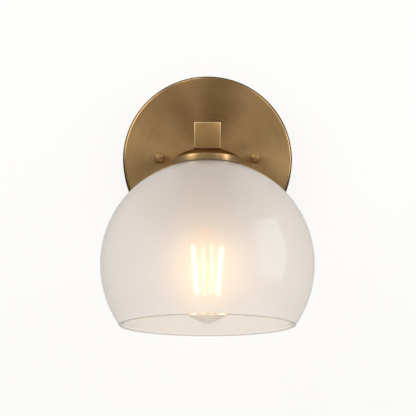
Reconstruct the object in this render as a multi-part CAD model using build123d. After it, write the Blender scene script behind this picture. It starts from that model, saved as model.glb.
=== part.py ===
from build123d import *

import os
from math import asin, cos, degrees, radians, sin, sqrt, tan

# Globe wall lamp: a round spun backplate, a square arm, and an open frosted globe over a screw-base bulb.
# Millimetres. The wall is the plane Y = 0 and the lamp stands out from it along -Y, with +Z up and +X to
# the right of someone who faces it. The origin is the middle of the mounting bracket's back face.

# Backplate, a spun pan that hides the outlet box
plate_diameter = 146.0
plate_depth = 22.0
plate_sheet = 1.2
plate_edge_radius = 3.0

# Mounting bracket, a stamped cross that is screwed to the outlet box
bracket_sheet = 2.0
bracket_arm_width = 20.0
bracket_hub_diameter = 50.0
bracket_wire_hole = 12.0
bracket_end_margin = 6.5
bracket_corner_radius = 4.0
box_spacing_small = 69.85
box_spacing_large = 88.9
box_slot_width = 4.8
ground_screw_offset = 17.0
ground_screw_angle = 225.0
ground_screw_diameter = 4.8
ground_screw_flats = 8.0
ground_screw_head = 3.4

# Studs, their lock nuts, and the ball nuts that hold the backplate
knob_spacing = 82.55
stud_diameter = 4.0
stud_nut_flats = 8.7
stud_nut_height = 3.2
stud_hole_play = 0.5
stud_back_recess = 0.3
knob_ball_diameter = 8.8
knob_collar_diameter = 6.4
knob_collar_height = 1.0
knob_end_wall = 2.6

# Square arm and what fixes it to the backplate
arm_side = 22.2
arm_wall = 1.6
arm_overhang = 11.0
arm_chamfer = 0.9
plug_length = 9.0
nipple_diameter = 10.2
nipple_bore = 7.0
nipple_run_out = 1.5
washer_diameter = 18.0
washer_thickness = 1.0
washer_teeth = 12
washer_notch_depth = 2.0
washer_notch_width = 1.5
lug_diameter = 15.0
lug_thickness = 0.8
lug_tongue_width = 4.0
lug_barrel_length = 6.0
lug_barrel_wall = 0.45
arm_nut_flats = 16.0
arm_nut_height = 4.0

# Cap over the globe's top
shade_axis_reach = 118.6
bush_diameter = 15.0
bush_height = 5.0
cap_diameter = 54.8
cap_sheet = 1.0
cap_crown_diameter = 18.0
cap_dome_rise = 6.85
cap_band_height = 5.4
cap_nut_flats = 16.0
cap_nut_height = 4.0

# Frosted globe, its seat ring under the cap and the threaded ring that clamps it
shade_diameter = 177.0
shade_flattening = 2.6
shade_wall = 3.0
shade_drop = 49.4
shade_lip_diameter = 3.6
shade_hole_play = 1.5
gasket_lip = 0.6
gasket_lift = 1.8
gasket_width = 5.6
ring_diameter = 52.0
ring_height = 7.0
ring_grips = 12
ring_grip_depth = 1.2
ring_grip_radius = 3.0

# Screw-base lamp holder
sleeve_diameter = 39.0
sleeve_wall = 1.2
sleeve_length = 58.0
socket_depth = 24.5
socket_mouth_recess = 1.0
socket_floor = 6.0
contact_spring_height = 3.0
contact_sheet = 0.8
contact_width = 6.0
contact_overhang = 3.5
hub_height = 6.8
chamber_diameter = 27.0
screw_shell_sheet = 0.4
screw_shell_play = 0.25
terminal_offset = 10.5
rivet_diameter = 3.0
rivet_head_diameter = 4.6
rivet_head_height = 1.0

# Bulb
base_diameter = 26.0
base_sheet = 0.4
base_shell_length = 22.0
base_shoulder_height = 2.0
base_insulator_diameter = 21.0
base_insulator_height = 3.8
base_tip_diameter = 9.5
base_tip_height = 1.2
bulb_diameter = 60.0
bulb_glass_length = 79.0
bulb_glass_wall = 0.9
bulb_neck_diameter = 24.4
bulb_neck_seat = 3.0
bulb_nose_angle = 26.0
bulb_nose_radius = 6.0
stem_seal_gap = 0.3
stem_tube_diameter = 9.0
stem_tube_length = 12.0
stem_flare_length = 5.0
stem_rod_diameter = 2.6
stem_rod_overrun = 2.0
filament_count = 4
filament_length = 38.0
filament_width = 2.6
filament_thickness = 1.3
filament_joint_gap = 0.1
filament_drop = 15.7
filament_top_radius = 12.0
filament_bottom_radius = 8.5
filament_turn = 17.0
filament_wire_diameter = 0.7
filament_wire_rise = 3.0
filament_wire_bend = 1.2
driver_board_thickness = 1.2
driver_board_depth = 8.0
driver_capacitor_diameter = 7.0
driver_capacitor_height = 8.0

# Internal wiring
lead_diameter = 2.2
lead_pitch = 3.4
lead_terminal_rise = 6.2
lead_bend_radius = 8.0
lead_exit_bend_radius = 5.0
lead_exit_depth = 9.5
widest_bend = 0.45
connector_diameter = 11.0
connector_end_diameter = 7.2
connector_end_fillet = 1.8
connector_length = 19.0
connector_distance = 15.0
connector_grip = 8.0
ground_lead_reach = 31.0

# Clearances
thread_gap = 0.05
turning_gap = 0.1
press_gap = 0.05
seat_gap = 0.05

# Levels along the wall's normal, as distances from the wall
plate_inside = plate_depth - plate_sheet
washer_face = plate_inside - washer_thickness
lug_face = washer_face - lug_thickness
arm_nut_face = lug_face - arm_nut_height
arm_nipple_end = arm_nut_face - nipple_run_out
plug_end = plate_depth + plug_length
knob_seat = plate_depth + turning_gap
arm_reach = shade_axis_reach + arm_overhang

# Levels on the globe's upright axis, measured from the arm's centre line
arm_underside = -arm_side / 2
arm_floor = arm_underside + arm_wall
bush_top = arm_floor + bush_height
cap_inside = arm_underside - cap_sheet
band_top = arm_underside - cap_dome_rise
band_bottom = band_top - cap_band_height
sleeve_top = cap_inside - cap_nut_height
sleeve_bottom = sleeve_top - sleeve_length
hub_top = sleeve_top - sleeve_wall
chamber_top = hub_top - hub_height
contact_face = sleeve_bottom + socket_depth
contact_roof = contact_face + contact_spring_height
chamber_floor = contact_roof + socket_floor
socket_mouth = sleeve_bottom + socket_mouth_recess
tip_top = contact_face - turning_gap
tip_bottom = tip_top - base_tip_height
base_top = tip_bottom - base_insulator_height
base_bottom = base_top - base_shell_length
bulb_crown = base_bottom - bulb_glass_length

# Radii that several pieces share
nipple_radius = nipple_diameter / 2
nipple_hole_radius = nipple_radius + thread_gap
stud_thread_radius = stud_diameter / 2 + thread_gap
cap_radius = cap_diameter / 2
band_inner_radius = cap_radius - cap_sheet
sleeve_radius = sleeve_diameter / 2
sleeve_inner_radius = sleeve_radius - sleeve_wall
shade_radius = shade_diameter / 2
shade_hole_radius = sleeve_radius + shade_hole_play
crown_arc_radius = shade_radius - shade_flattening
base_radius = base_diameter / 2
screw_shell_inner = base_radius + screw_shell_play
screw_shell_outer = screw_shell_inner + screw_shell_sheet
lead_radius = lead_diameter / 2
bulb_radius = bulb_diameter / 2
bulb_neck_radius = bulb_neck_diameter / 2
rivet_hole_radius = rivet_diameter / 2 + press_gap

# A piece drawn with Z as the distance from the wall and Y up turns into place with from_wall
from_wall = Rot(90, 0, 0)
# A piece drawn round Z moves onto the globe's axis with on_axis
on_axis = Pos(0, -shade_axis_reach, 0)
on_base = (Align.CENTER, Align.CENTER, Align.MIN)


def crown_height(radius, inset):
    """Height above the globe's widest line of its upper surface, or of a surface that far inside it."""
    return sqrt((crown_arc_radius - inset) ** 2 - (radius - shade_flattening) ** 2)


equator = band_bottom - gasket_lip - crown_height(cap_radius, 0)
ring_top = equator + crown_height(ring_diameter / 2, shade_wall) - turning_gap
ring_bottom = ring_top - ring_height


def rod(radius, start, end):
    """Solid cylinder round Z."""
    return Pos(0, 0, start) * Cylinder(radius, end - start, align=on_base)


def tube(outer_radius, inner_radius, start, end):
    """Hollow cylinder round Z."""
    return rod(outer_radius, start, end) - rod(inner_radius, start, end)


def hex_corner(flats):
    """Distance from a hexagon's centre to its corners."""
    return flats / 2 / cos(radians(180 / 6))


def hex_nut(flats, bore_radius, start, end):
    """Plain hexagon nut round Z."""
    blank = extrude(RegularPolygon(flats / 2, 6, major_radius=False), end - start)
    return Pos(0, 0, start) * blank - rod(bore_radius, start, end)


def turned(*edges):
    """Solid of revolution round Z from a closed outline given as radius and height."""
    return revolve(Plane.XZ * make_face(edges), axis=Axis.Z)


def chain(*points):
    """Straight edges from point to point."""
    return [Line(first, second) for first, second in zip(points, points[1:])]


def wire_tube(points, radii, radius):
    """Round wire along straight runs that are joined by tangent arcs."""
    path = FilletPolyline(*points, radius=radii)
    section = Plane(origin=path @ 0, z_dir=path % 0) * Circle(radius)
    return sweep(section, path=path)


def stud_places():
    return [Pos(side * knob_spacing / 2, 0, 0) for side in (-1, 1)]


def ground_direction():
    """From the middle of the bracket to the ground screw, down and to the left."""
    return Vector(1, 0, 0).rotate(Axis.Z, ground_screw_angle)


def mounting_bracket():
    slot_centre = (box_spacing_small + box_spacing_large) / 4
    slot_length = (box_spacing_large - box_spacing_small) / 2 + box_slot_width
    upright_reach = slot_centre + slot_length / 2 + bracket_end_margin
    sideways_reach = knob_spacing / 2 + bracket_end_margin
    outline = Circle(bracket_hub_diameter / 2)
    outline += RectangleRounded(2 * sideways_reach, bracket_arm_width, bracket_corner_radius)
    outline += RectangleRounded(bracket_arm_width, 2 * upright_reach, bracket_corner_radius)
    outline -= Circle(bracket_wire_hole / 2)
    for side in (-1, 1):
        outline -= Pos(0, side * slot_centre) * SlotOverall(slot_length, box_slot_width, rotation=90)
        outline -= Pos(side * knob_spacing / 2, 0) * Circle(stud_thread_radius)
    screw_place = ground_direction() * ground_screw_offset
    outline -= Pos(screw_place.X, screw_place.Y) * Circle(ground_screw_diameter / 2 + thread_gap)
    return from_wall * extrude(outline, bracket_sheet)


def ground_screw():
    place = ground_direction() * ground_screw_offset
    head_end = bracket_sheet + ground_screw_head
    head = RegularPolygon(ground_screw_flats / 2, 6, major_radius=False)
    screw = rod(ground_screw_diameter / 2, 0, head_end)
    screw += Pos(0, 0, bracket_sheet) * extrude(head, ground_screw_head)
    return from_wall * Pos(place.X, place.Y, 0) * screw


def knob_height():
    ball_radius = knob_ball_diameter / 2
    return knob_collar_height + ball_centre_rise() + ball_radius


def ball_centre_rise():
    """How far the ball's centre stands above its collar."""
    return sqrt((knob_ball_diameter / 2) ** 2 - (knob_collar_diameter / 2) ** 2)


def bracket_stud(place):
    end = knob_seat + knob_height() - knob_end_wall - turning_gap
    return from_wall * place * rod(stud_diameter / 2, stud_back_recess, end)


def stud_lock_nuts():
    seat = bracket_sheet + seat_gap
    nut = hex_nut(stud_nut_flats, stud_thread_radius, seat, seat + stud_nut_height)
    return from_wall * Compound(children=[place * nut for place in stud_places()])


def knob(place):
    """Turned ball nut on a short collar, with a blind threaded hole."""
    ball_radius = knob_ball_diameter / 2
    collar_radius = knob_collar_diameter / 2
    centre = knob_collar_height + ball_centre_rise()
    hole_end = knob_height() - knob_end_wall
    start_angle = -degrees(asin(ball_centre_rise() / ball_radius))
    outline = chain((0, knob_height()), (0, hole_end), (stud_thread_radius, hole_end))
    outline += chain((stud_thread_radius, hole_end), (stud_thread_radius, 0), (collar_radius, 0))
    outline += chain((collar_radius, 0), (collar_radius, knob_collar_height))
    outline.append(CenterArc((0, centre), ball_radius, start_angle, 90 - start_angle))
    return from_wall * place * Pos(0, 0, knob_seat) * turned(*outline)


def backplate():
    outer = plate_diameter / 2
    inner = outer - plate_sheet
    flat_edge = outer - plate_edge_radius
    shoulder = plate_depth - plate_edge_radius
    outline = chain((inner, shoulder), (inner, 0), (outer, 0), (outer, shoulder))
    outline.append(CenterArc((flat_edge, shoulder), plate_edge_radius, 0, 90))
    outline += chain((flat_edge, plate_depth), (nipple_hole_radius, plate_depth))
    outline += chain((nipple_hole_radius, plate_depth), (nipple_hole_radius, plate_inside))
    outline += chain((nipple_hole_radius, plate_inside), (flat_edge, plate_inside))
    outline.append(CenterArc((flat_edge, shoulder), plate_edge_radius - plate_sheet, 90, -90))
    pan = turned(*outline)
    for place in stud_places():
        pan -= place * rod(stud_diameter / 2 + stud_hole_play, plate_inside, plate_depth)
    return from_wall * pan


def arm():
    length = arm_reach - plate_depth
    bar = Pos(0, 0, plate_depth) * Box(arm_side, arm_side, length, align=on_base)
    long_edges = bar.edges().filter_by(Axis.Z)
    front_edges = bar.faces().sort_by(Axis.Z)[-1].edges()
    bar = chamfer(long_edges + front_edges, arm_chamfer)
    inside = arm_side - 2 * arm_wall
    bar -= Pos(0, 0, plate_depth) * Box(inside, inside, length - arm_wall, align=on_base)
    hole = rod(nipple_hole_radius, arm_underside, arm_floor)
    return from_wall * bar - on_axis * hole


def arm_plug():
    side = arm_side - 2 * arm_wall - 2 * press_gap
    block = Pos(0, 0, plate_depth) * Box(side, side, plug_length, align=on_base)
    return from_wall * (block - rod(nipple_hole_radius, plate_depth, plug_end))


def arm_nipple():
    return from_wall * tube(nipple_radius, nipple_bore / 2, arm_nipple_end, plug_end)


def arm_lock_washer():
    """Toothed steel washer under the nut."""
    outer = washer_diameter / 2
    washer = tube(outer, nipple_hole_radius, washer_face, plate_inside)
    notch = Pos(outer, 0, washer_face) * Box(
        2 * washer_notch_depth, washer_notch_width, washer_thickness, align=on_base
    )
    for index in range(washer_teeth):
        washer -= Rot(0, 0, index * 360 / washer_teeth) * notch
    return from_wall * washer


def lug_barrel_start():
    """Distance from the nipple's axis at which the lug's barrel clears the nut's corners."""
    return hex_corner(arm_nut_flats) + turning_gap


def lug_barrel_radius():
    return lead_radius + press_gap + lug_barrel_wall


def lug_barrel_depth():
    """Distance of the barrel's axis from the wall: it rests against the backplate's inside."""
    return plate_inside - lug_barrel_radius() - turning_gap


def ground_lug():
    """Ring terminal clamped under the arm's nut, with a barrel that grips the ground lead."""
    start = lug_barrel_start()
    end = start + lug_barrel_length
    ring = tube(lug_diameter / 2, nipple_hole_radius, lug_face, washer_face)
    tongue_length = end - (nipple_hole_radius + lug_diameter / 2) / 2
    tongue = Pos(end - tongue_length / 2, 0, lug_face) * Box(
        tongue_length, lug_tongue_width, lug_thickness, align=on_base
    )
    tongue -= rod(nipple_hole_radius, lug_face, washer_face)
    along = Pos(0, 0, lug_barrel_depth()) * Rot(0, 90, 0)
    lug = ring + tongue + along * rod(lug_barrel_radius(), start, end)
    lug -= along * rod(lead_radius + press_gap, start, end)
    return from_wall * Rot(0, 0, ground_screw_angle) * lug


def ground_lead():
    """Green lead from the lug, out round a U-bend and back under the ground screw's head."""
    screw_side = ground_screw_offset + hex_corner(ground_screw_flats) + turning_gap
    near_bracket = bracket_sheet + lead_radius + turning_gap
    barrel = lug_barrel_depth()
    points = [
        (lug_barrel_start(), 0, barrel),
        (ground_lead_reach, 0, barrel),
        (ground_lead_reach, 0, near_bracket),
        (screw_side, 0, near_bracket),
    ]
    wide_bend = widest_bend * (barrel - near_bracket)
    tight_bend = widest_bend * (ground_lead_reach - screw_side)
    lead = wire_tube(points, [wide_bend, tight_bend], lead_radius)
    return from_wall * Rot(0, 0, ground_screw_angle) * lead


def arm_lock_nut():
    return from_wall * hex_nut(arm_nut_flats, nipple_hole_radius, arm_nut_face, lug_face)


def arm_bush():
    return on_axis * tube(bush_diameter / 2, nipple_hole_radius, arm_floor, bush_top)


def socket_nipple():
    return on_axis * tube(nipple_radius, nipple_bore / 2, chamber_top, bush_top)


def dome(radius, crown_radius, top, bottom):
    """Solid under a domed lid: flat crown, one arc down to the band, straight band."""
    edge = top - cap_dome_rise
    arc_radius = ((radius - crown_radius) ** 2 + cap_dome_rise**2) / (2 * cap_dome_rise)
    sweep_angle = degrees(asin((radius - crown_radius) / arc_radius))
    outline = chain((radius, edge), (radius, bottom), (0, bottom), (0, top), (crown_radius, top))
    outline.append(CenterArc((crown_radius, top - arc_radius), arc_radius, 90, -sweep_angle))
    return turned(*outline)


def shade_cap():
    crown_radius = cap_crown_diameter / 2
    cap = dome(cap_radius, crown_radius, arm_underside, band_bottom)
    cap -= dome(band_inner_radius, crown_radius, cap_inside, band_bottom)
    return on_axis * (cap - rod(nipple_hole_radius, cap_inside, arm_underside))


def cap_lock_nut():
    return on_axis * hex_nut(cap_nut_flats, nipple_hole_radius, sleeve_top, cap_inside)


def shade_gasket():
    """Silicone seat between cap and glass: its lip shows as a thin line under the band."""
    inner = band_inner_radius - gasket_width
    arc_radius = crown_arc_radius + seat_gap
    start_angle = degrees(asin((cap_radius - shade_flattening) / arc_radius))
    end_angle = degrees(asin((inner - shade_flattening) / arc_radius))
    lip_end = equator + sqrt(arc_radius**2 - (cap_radius - shade_flattening) ** 2)
    inner_end = equator + sqrt(arc_radius**2 - (inner - shade_flattening) ** 2)
    lip_top = band_bottom - seat_gap
    top = band_bottom + gasket_lift
    step = band_inner_radius - seat_gap
    seat = CenterArc((shade_flattening, equator), arc_radius, 90 - start_angle, start_angle - end_angle)
    outline = [seat]
    outline += chain((inner, inner_end), (inner, top), (step, top), (step, lip_top))
    outline += chain((step, lip_top), (cap_radius, lip_top), (cap_radius, lip_end))
    return on_axis * turned(*outline)


def glass_shade():
    """Blown globe: flattened crown, round belly, open below with a fire-polished lip."""
    inner_radius = shade_radius - shade_wall
    middle_radius = shade_radius - shade_wall / 2
    hole = shade_hole_radius
    crown_inner = crown_arc_radius - shade_wall
    outer_start = degrees(asin((hole - shade_flattening) / crown_arc_radius))
    inner_start = degrees(asin((hole - shade_flattening) / crown_inner))
    lip_angle = degrees(asin(shade_drop / middle_radius))
    lip_middle = (
        middle_radius * cos(radians(lip_angle)),
        equator - middle_radius * sin(radians(lip_angle)),
    )
    outer_end = (
        shade_radius * cos(radians(lip_angle)),
        equator - shade_radius * sin(radians(lip_angle)),
    )
    inner_end = (
        inner_radius * cos(radians(lip_angle)),
        equator - inner_radius * sin(radians(lip_angle)),
    )
    crown_centre = (shade_flattening, equator)
    belly_centre = (0, equator)
    outline = [
        CenterArc(crown_centre, crown_arc_radius, 90 - outer_start, outer_start - 90),
        CenterArc(belly_centre, shade_radius, 0, -lip_angle),
        Line(outer_end, inner_end),
        CenterArc(belly_centre, inner_radius, -lip_angle, lip_angle),
        CenterArc(crown_centre, crown_inner, 0, 90 - inner_start),
        Line(
            (hole, equator + crown_height(hole, shade_wall)),
            (hole, equator + crown_height(hole, 0)),
        ),
    ]
    section = make_face(outline) + Pos(*lip_middle) * Circle(shade_lip_diameter / 2)
    return on_axis * revolve(Plane.XZ * section, axis=Axis.Z)


def shade_ring():
    """Threaded clamping ring with scalloped finger grips."""
    outer = ring_diameter / 2
    ring = tube(outer, sleeve_radius + thread_gap, ring_bottom, ring_top)
    grip_centre = outer + ring_grip_radius - ring_grip_depth
    grip = Pos(grip_centre, 0, 0) * rod(ring_grip_radius, ring_bottom, ring_top)
    for index in range(ring_grips):
        ring -= Rot(0, 0, index * 360 / ring_grips) * grip
    return on_axis * ring


def socket_sleeve():
    """Threaded brass sleeve whose top flange is clamped by the nut above it."""
    sleeve = rod(sleeve_radius, sleeve_bottom, sleeve_top)
    sleeve -= rod(sleeve_inner_radius, sleeve_bottom, hub_top)
    return on_axis * (sleeve - rod(nipple_hole_radius, hub_top, sleeve_top))


def terminal_places():
    """The live terminal is on the right, the neutral one on the left."""
    return [Pos(side * terminal_offset, 0, 0) for side in (1, -1)]


def socket_body():
    """Moulded holder: threaded hub, wire chamber, floor with two rivets, and the screw shell's well."""
    body = rod(sleeve_inner_radius - press_gap, socket_mouth, hub_top)
    body -= rod(nipple_hole_radius, chamber_top, hub_top)
    body -= rod(chamber_diameter / 2, chamber_floor, chamber_top)
    body -= rod(screw_shell_outer + press_gap, socket_mouth, contact_roof)
    for place in terminal_places():
        body -= place * rod(rivet_hole_radius, contact_roof, chamber_floor)
    return on_axis * body


def socket_shell():
    """Screw shell with the tab that the neutral rivet holds."""
    shell = tube(screw_shell_outer, screw_shell_inner, socket_mouth, contact_roof)
    tab_inner = terminal_offset - rivet_head_diameter / 2
    tab_length = screw_shell_inner + screw_shell_sheet / 2 - tab_inner
    tab_bottom = contact_roof - screw_shell_sheet
    tab = Pos(-tab_inner - tab_length / 2, 0, tab_bottom) * Box(
        tab_length, contact_width, screw_shell_sheet, align=on_base
    )
    tab &= rod(screw_shell_outer, tab_bottom, contact_roof)
    tab -= Pos(-terminal_offset, 0, 0) * rod(rivet_hole_radius, tab_bottom, contact_roof)
    return on_axis * (shell + tab)


def centre_contact():
    """Sprung brass tongue that the bulb's tip presses on."""
    outer_end = terminal_offset + rivet_diameter / 2
    bend = terminal_offset - rivet_head_diameter / 2 - contact_sheet
    low_end = bend - contact_spring_height
    outline = chain(
        (outer_end, contact_roof),
        (bend, contact_roof),
        (low_end, contact_face + contact_sheet),
        (-contact_overhang, contact_face + contact_sheet),
        (-contact_overhang, contact_face),
        (low_end, contact_face),
        (bend, contact_roof - contact_sheet),
        (outer_end, contact_roof - contact_sheet),
        (outer_end, contact_roof),
    )
    tongue = extrude(Plane.XZ * make_face(outline), contact_width / 2, both=True)
    rivet_hole = rod(rivet_hole_radius, contact_roof - contact_sheet, contact_roof)
    tongue -= Pos(terminal_offset, 0, 0) * rivet_hole
    return on_axis * tongue


def terminal_rivets():
    clamped = (contact_sheet, screw_shell_sheet)
    rivets = []
    for place, sheet in zip(terminal_places(), clamped):
        low = contact_roof - sheet
        rivet = rod(rivet_diameter / 2, low, chamber_floor)
        rivet += rod(rivet_head_diameter / 2, chamber_floor, chamber_floor + rivet_head_height)
        rivet += rod(rivet_head_diameter / 2, low - rivet_head_height, low)
        rivets.append(place * rivet)
    return on_axis * Compound(children=rivets)


def lead_points(side):
    """Route from a terminal up through the nipple, back along the arm and out into the backplate."""
    inner = side * lead_pitch / 2
    terminal = side * terminal_offset
    head_top = chamber_floor + rivet_head_height + seat_gap
    diagonal = (connector_distance + connector_grip) / sqrt(2)
    return [
        (terminal, -shade_axis_reach, head_top),
        (terminal, -shade_axis_reach, head_top + lead_terminal_rise),
        (inner, -shade_axis_reach, chamber_top - lead_diameter),
        (inner, -shade_axis_reach, 0),
        (inner, -lead_exit_depth, 0),
        (inner + side * diagonal, -lead_exit_depth, diagonal),
    ]


def lead(side):
    points = [Vector(point) for point in lead_points(side)]
    radii = []
    for before, corner, after in zip(points, points[1:], points[2:]):
        shorter = min((corner - before).length, (after - corner).length)
        turn = radians((corner - before).get_angle(after - corner))
        radii.append(widest_bend * shorter / tan(turn / 2))
    radii[-2] = lead_bend_radius
    radii[-1] = lead_exit_bend_radius
    return wire_tube(points, radii, lead_radius)


def wire_connectors():
    """Twist-on connectors on the ends of the two leads, as the fitter leaves them."""
    outer = connector_diameter / 2
    end = connector_end_diameter / 2
    cone = loft([Circle(outer), Pos(0, 0, connector_length) * Circle(end)])
    cone = fillet(cone.faces().sort_by(Axis.Z)[-1].edges(), connector_end_fillet)
    cone -= rod(lead_radius + press_gap, 0, connector_grip + press_gap)
    connectors = []
    for side in (1, -1):
        corner, tail = (Vector(point) for point in lead_points(side)[-2:])
        along = (tail - corner).normalized()
        connectors.append(Plane(origin=tail - along * connector_grip, z_dir=along) * cone)
    return Compound(children=connectors)


def bulb_tip():
    return on_axis * rod(base_tip_diameter / 2, tip_bottom, tip_top)


def bulb_insulator():
    """Black glass cone between the tip and the screw shell."""
    lower = base_insulator_diameter / 2 - press_gap
    upper = base_tip_diameter / 2
    outline = chain((0, base_top), (lower, base_top), (upper, tip_bottom), (0, tip_bottom), (0, base_top))
    return on_axis * turned(*outline)


def bulb_base():
    """Drawn screw shell with its shoulder turned in under the insulator."""
    shoulder = base_top - base_shoulder_height
    lip = base_insulator_diameter / 2
    inner = base_radius - base_sheet
    outline = chain(
        (lip, base_top),
        (base_radius, shoulder),
        (base_radius, base_bottom),
        (inner, base_bottom),
        (inner, shoulder),
        (lip - base_sheet, base_top - press_gap),
        (lip - base_sheet, base_top),
        (lip, base_top),
    )
    return on_axis * turned(*outline)


def bulb_ball_centre():
    return bulb_crown + bulb_nose_radius + (bulb_radius - bulb_nose_radius) / cos(radians(bulb_nose_angle))


def bulb_body(inset):
    """Solid inside the bulb's outline: rounded nose, ball and a hollow curve up to the neck."""
    ball = bulb_radius - inset
    neck = bulb_neck_radius - inset
    nose = bulb_nose_radius - inset
    centre = bulb_ball_centre()
    slope = radians(bulb_nose_angle)
    nose_centre = bulb_crown + bulb_nose_radius
    neck_height = base_bottom - centre
    hollow = (neck_height**2 + neck**2 - ball**2) / (2 * (ball - neck))
    reach = ball + hollow
    meet = asin(neck_height / reach)
    hollow_start = degrees(meet) + 180
    neck_top = base_bottom + bulb_neck_seat
    outline = [
        CenterArc((0, nose_centre), nose, -90, bulb_nose_angle),
        Line(
            (nose * sin(slope), nose_centre - nose * cos(slope)),
            (ball * sin(slope), centre - ball * cos(slope)),
        ),
        CenterArc((0, centre), ball, bulb_nose_angle - 90, 90 - bulb_nose_angle + degrees(meet)),
        CenterArc((neck + hollow, base_bottom), hollow, hollow_start, 180 - hollow_start),
    ]
    outline += chain((neck, base_bottom), (neck, neck_top), (0, neck_top), (0, nose_centre - nose))
    return turned(*outline)


def bulb_glass():
    return on_axis * (bulb_body(0) - bulb_body(bulb_glass_wall))


def filament_top():
    return base_bottom - filament_drop


def filament_bottom():
    lean = filament_top_radius - filament_bottom_radius
    return filament_top() - sqrt(filament_length**2 - lean**2)


def upper_wire_level():
    return filament_top() + filament_joint_gap + filament_wire_rise


def lower_wire_level():
    return filament_bottom() - filament_joint_gap - filament_wire_rise


def bulb_stem():
    """Glass stem: flare sealed in the neck, pressed tube and a rod down to the lower supports."""
    flare = bulb_neck_radius - bulb_glass_wall - stem_seal_gap
    tube_radius = stem_tube_diameter / 2
    rod_radius = stem_rod_diameter / 2
    top = base_bottom + bulb_neck_seat
    tube_top = top - stem_flare_length
    tube_bottom = tube_top - stem_tube_length
    rod_end = lower_wire_level() - stem_rod_overrun
    outline = chain(
        (0, top),
        (flare, top),
        (tube_radius, tube_top),
        (tube_radius, tube_bottom),
        (rod_radius, tube_bottom - tube_radius),
        (rod_radius, rod_end),
        (0, rod_end),
        (0, top),
    )
    return on_axis * turned(*outline)


def filament_places():
    return [Rot(0, 0, filament_turn + index * 360 / filament_count) for index in range(filament_count)]


def bulb_filaments():
    """Round-edged strips that lean inwards, each with its wide side along the radius."""
    top = Vector(filament_top_radius, 0, filament_top())
    bottom = Vector(filament_bottom_radius, 0, filament_bottom())
    across = SlotOverall(filament_width, filament_thickness, rotation=90)
    end = Plane(origin=bottom, x_dir=(0, 1, 0), z_dir=top - bottom)
    strip = extrude(end * across, filament_length)
    return on_axis * Compound(children=[place * strip for place in filament_places()])


def filament_wires():
    """Nickel support wires from the stem to both ends of each filament."""
    wire = filament_wire_diameter / 2
    tube_face = stem_tube_diameter / 2 + press_gap
    rod_face = stem_rod_diameter / 2 + press_gap
    upper = upper_wire_level()
    lower = lower_wire_level()
    routes = [
        [
            (tube_face, 0, upper),
            (filament_top_radius, 0, upper),
            (filament_top_radius, 0, upper - filament_wire_rise),
        ],
        [
            (rod_face, 0, lower),
            (filament_bottom_radius, 0, lower),
            (filament_bottom_radius, 0, lower + filament_wire_rise),
        ],
    ]
    pair = [wire_tube(route, [filament_wire_bend], wire) for route in routes]
    wires = [place * each for place in filament_places() for each in pair]
    return on_axis * Compound(children=wires)


def bulb_driver():
    """Round circuit board with its capacitor, pressed into the screw shell."""
    board_top = base_top - base_shoulder_height - driver_board_depth
    board_bottom = board_top - driver_board_thickness
    board = rod(base_radius - base_sheet - press_gap, board_bottom, board_top)
    board += rod(driver_capacitor_diameter / 2, board_top, board_top + driver_capacitor_height)
    return on_axis * board


left_stud, right_stud = stud_places()
nodes = {
    "mounting_bracket": mounting_bracket(),
    "ground_screw": ground_screw(),
    "bracket_stud_left": bracket_stud(left_stud),
    "bracket_stud_right": bracket_stud(right_stud),
    "stud_lock_nuts": stud_lock_nuts(),
    "backplate": backplate(),
    "knob_left": knob(left_stud),
    "knob_right": knob(right_stud),
    "arm": arm(),
    "arm_plug": arm_plug(),
    "arm_nipple": arm_nipple(),
    "arm_lock_washer": arm_lock_washer(),
    "ground_lug": ground_lug(),
    "ground_lead": ground_lead(),
    "arm_lock_nut": arm_lock_nut(),
    "arm_bush": arm_bush(),
    "socket_nipple": socket_nipple(),
    "shade_cap": shade_cap(),
    "cap_lock_nut": cap_lock_nut(),
    "shade_gasket": shade_gasket(),
    "glass_shade": glass_shade(),
    "shade_ring": shade_ring(),
    "socket_sleeve": socket_sleeve(),
    "socket_body": socket_body(),
    "socket_shell": socket_shell(),
    "centre_contact": centre_contact(),
    "terminal_rivets": terminal_rivets(),
    "hot_lead": lead(1),
    "neutral_lead": lead(-1),
    "wire_connectors": wire_connectors(),
    "bulb_tip": bulb_tip(),
    "bulb_insulator": bulb_insulator(),
    "bulb_base": bulb_base(),
    "bulb_driver": bulb_driver(),
    "bulb_glass": bulb_glass(),
    "bulb_stem": bulb_stem(),
    "bulb_filaments": bulb_filaments(),
    "filament_wires": filament_wires(),
}

os.makedirs("parts", exist_ok=True)
for name, shape in nodes.items():
    export_step(shape, f"parts/{name}.step")
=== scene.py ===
from math import asin, atan2, cos, degrees, pi, radians, sin, sqrt

import bmesh
import bpy
from mathutils import Matrix, Vector


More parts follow.
